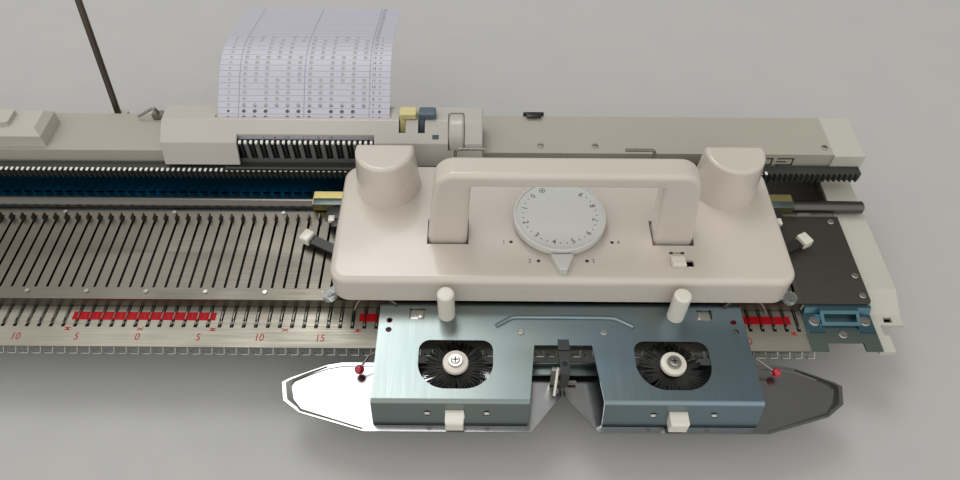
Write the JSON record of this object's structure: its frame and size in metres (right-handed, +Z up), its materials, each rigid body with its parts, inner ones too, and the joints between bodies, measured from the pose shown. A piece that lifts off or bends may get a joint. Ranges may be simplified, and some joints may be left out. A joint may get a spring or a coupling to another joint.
{
  "type": "domestic knitting machine",
  "caption": "Flat-bed domestic knitting machine with a slotted needle bed, a sliding carriage with a tension dial and handle, a sinker plate with brushes and a punch card unit.",
  "frame": {"origin": "on the table, under the middle of the needle bed's length, on the face of the middle rubber foot", "axes": "+X along the bed to the operator's right, +Y to the rear, +Z up from the table"},
  "size_m": [1.146, 0.3794, 0.3429],
  "materials": {
    "case": "moulded, satin",
    "rubber": "matt",
    "bed_steel": "brushed lengthways",
    "number_steel": "satin plated",
    "post_steel": "bright plated",
    "needle_steel": "polished",
    "zinc": "zinc plated",
    "teal_zinc": "dark blue-green zinc plating",
    "rail_steel": "ground and polished",
    "rack_plastic": "moulded",
    "end_plate_grey": "matt paint",
    "blue_zinc": "blue zinc plating",
    "rear_strip": "moulded, satin",
    "unit_cream": "moulded, glossy",
    "feeler_grey": "moulded",
    "feeler_dark": "moulded",
    "card": "coated card",
    "counter_cream": "moulded, satin",
    "mast_steel": "drawn",
    "bright_wire": "bright plated",
    "screw_steel": "nickel plated",
    "drum_white": "moulded",
    "lever_yellow": "moulded",
    "lever_blue": "moulded",
    "cover_cream": "moulded, glossy",
    "brass": "machined",
    "clear_glide": "moulded, translucent",
    "galvanised": "spangled zinc",
    "chrome": "bright chrome",
    "dial_cream": "moulded",
    "lever_black": "moulded",
    "knob_white": "moulded",
    "bristle": "nylon bristle"
  },
  "bodies": {
    "bed": {"case_base": "case", "feet": "rubber", "end_cap_left": "case", "end_cap_right": "case", "bed_plate": "bed_steel", "number_plate": "number_steel", "sinker_comb": "post_steel", "needles": "needle_steel", "needle_retainer": "zinc", "bed_channel": "teal_zinc", "rear_rail": "rail_steel", "tooth_rack": "rack_plastic", "end_plates": "end_plate_grey", "front_plates": "zinc", "end_brackets": "blue_zinc", "rear_cover_left": "rear_strip", "rear_cover_right": "rear_strip", "punch_housing": "unit_cream", "feeler_comb": "feeler_grey", "feeler_tray": "feeler_dark", "punch_card": "card", "row_counter": "counter_cream", "mast_socket": "case", "mast_rod": "mast_steel", "wire_hook": "bright_wire", "bed_screws": "screw_steel"},
    "card_feed": {"card_drum": "drum_white", "feed_dial": "unit_cream"},
    "card_lever": {"card_lever": "lever_yellow"},
    "selector_lever": {"selector_lever": "lever_blue"},
    "carriage": {"cam_plate": "zinc", "raising_cams": "rail_steel", "carriage_cover": "cover_cream", "rail_guides": "brass", "front_glides": "clear_glide", "sinker_plate": "galvanised", "sinker_arms": "galvanised", "bumper_left": "chrome", "bumper_right": "chrome", "yarn_feeder": "feeler_dark", "guide_wires": "bright_wire", "carriage_screws": "screw_steel", "handle_pins": "screw_steel"},
    "handle": {"handle": "cover_cream"},
    "tension_dial": {"tension_dial": "dial_cream"},
    "stitch_cam_left": {"stitch_cam_left": "rail_steel"},
    "stitch_cam_right": {"stitch_cam_right": "rail_steel"},
    "cam_lever": {"cam_lever": "dial_cream"},
    "side_lever_left": {"side_lever_left": "lever_black"},
    "side_lever_right": {"side_lever_right": "lever_black"},
    "slide_switch": {"slide_switch": "knob_white"},
    "pattern_drum_left": {"pattern_drum_left": "drum_white"},
    "pattern_drum_right": {"pattern_drum_right": "drum_white"},
    "thumb_screw_left": {"thumb_screw_left": "knob_white"},
    "thumb_screw_right": {"thumb_screw_right": "knob_white"},
    "brush_carrier_left": {"brush_lever_left": "knob_white"},
    "brush_carrier_right": {"brush_lever_right": "knob_white"},
    "brush_left": {"brush_left": "bristle"},
    "brush_right": {"brush_right": "bristle"},
    "feeder_gate": {"feeder_gate": "bright_wire"}
  },
  "joints": [
    {"name": "carriage_slide", "type": "slide", "parent": "bed", "child": "carriage", "axis": [1, 0, 0], "range_m": [-0.684, 0.06]},
    {"name": "handle_fold", "type": "hinge", "parent": "carriage", "child": "handle", "pos_m": [0.312, -0.0228, 0.0972], "axis": [-1, 0, 0], "range_deg": [0, 85]},
    {"name": "dial_turn", "type": "hinge", "parent": "carriage", "child": "tension_dial", "pos_m": [0.312, -0.019, 0.1], "axis": [0, 0, 1], "range_deg": [-160, 137]},
    {"name": "stitch_cam_left_slide", "type": "slide", "parent": "carriage", "child": "stitch_cam_left", "axis": [-0.6428, 0.766, 0], "range_m": [-0.003, 0.0034]},
    {"name": "stitch_cam_right_slide", "type": "slide", "parent": "carriage", "child": "stitch_cam_right", "axis": [0.6428, 0.766, 0], "range_m": [-0.003, 0.0034]},
    {"name": "cam_lever_turn", "type": "hinge", "parent": "carriage", "child": "cam_lever", "pos_m": [0.312, -0.019, 0.095], "axis": [0, 0, 1], "range_deg": [-57, 57]},
    {"name": "side_lever_left_turn", "type": "hinge", "parent": "carriage", "child": "side_lever_left", "pos_m": [0.154, -0.035, 0.066], "axis": [0, 0, -1], "range_deg": [-15, 10]},
    {"name": "side_lever_right_turn", "type": "hinge", "parent": "carriage", "child": "side_lever_right", "pos_m": [0.47, -0.035, 0.066], "axis": [0, 0, 1], "range_deg": [-15, 10]},
    {"name": "slide_switch_move", "type": "slide", "parent": "carriage", "child": "slide_switch", "axis": [1, 0, 0], "range_m": [0, 0.008]},
    {"name": "pattern_drum_left_spin", "type": "hinge", "parent": "carriage", "child": "pattern_drum_left", "pos_m": [0.18, 0.03041, 0.09], "axis": [0, 0, 1], "continuous": true},
    {"name": "pattern_drum_right_spin", "type": "hinge", "parent": "carriage", "child": "pattern_drum_right", "pos_m": [0.444, 0.03041, 0.09], "axis": [0, 0, 1], "continuous": true},
    {"name": "thumb_screw_left_turn", "type": "hinge", "parent": "carriage", "child": "thumb_screw_left", "pos_m": [0.2285, -0.085, 0.07], "axis": [0, 0, 1], "range_deg": [0, 720]},
    {"name": "thumb_screw_right_turn", "type": "hinge", "parent": "carriage", "child": "thumb_screw_right", "pos_m": [0.3955, -0.085, 0.07], "axis": [0, 0, 1], "range_deg": [0, 720]},
    {"name": "brush_carrier_left_slide", "type": "slide", "parent": "carriage", "child": "brush_carrier_left", "axis": [0, -1, 0], "range_m": [0, 0.006]},
    {"name": "brush_carrier_right_slide", "type": "slide", "parent": "carriage", "child": "brush_carrier_right", "axis": [0, -1, 0], "range_m": [0, 0.006]},
    {"name": "brush_left_spin", "type": "hinge", "parent": "brush_carrier_left", "child": "brush_left", "pos_m": [0.236, -0.1243, 0.06], "axis": [0, 0, 1], "continuous": true},
    {"name": "brush_right_spin", "type": "hinge", "parent": "brush_carrier_right", "child": "brush_right", "pos_m": [0.388, -0.1243, 0.06], "axis": [0, 0, 1], "continuous": true},
    {"name": "feeder_gate_turn", "type": "hinge", "parent": "carriage", "child": "feeder_gate", "pos_m": [0.305, -0.128, 0.062], "axis": [-1, 0, 0], "range_deg": [0, 60]},
    {"name": "card_feed_turn", "type": "hinge", "parent": "bed", "child": "card_feed", "pos_m": [0.107, 0.0755, 0.092], "axis": [1, 0, 0], "continuous": true},
    {"name": "card_lever_swing", "type": "hinge", "parent": "bed", "child": "card_lever", "pos_m": [0.1878, 0.064, 0.08], "axis": [1, 0, 0], "range_deg": [0, 14]},
    {"name": "selector_lever_swing", "type": "hinge", "parent": "bed", "child": "selector_lever", "pos_m": [0.2036, 0.064, 0.08], "axis": [1, 0, 0], "range_deg": [0, 14]}
  ],
  "couplings": [
    {"joint": "pattern_drum_left_spin", "follows": "carriage_slide", "rad_per_m": 58.178},
    {"joint": "pattern_drum_right_spin", "follows": "carriage_slide", "rad_per_m": 58.178},
    {"joint": "stitch_cam_left_slide", "follows": "dial_turn", "m_per_rad": 0.001},
    {"joint": "stitch_cam_right_slide", "follows": "dial_turn", "m_per_rad": 0.001}
  ]
}
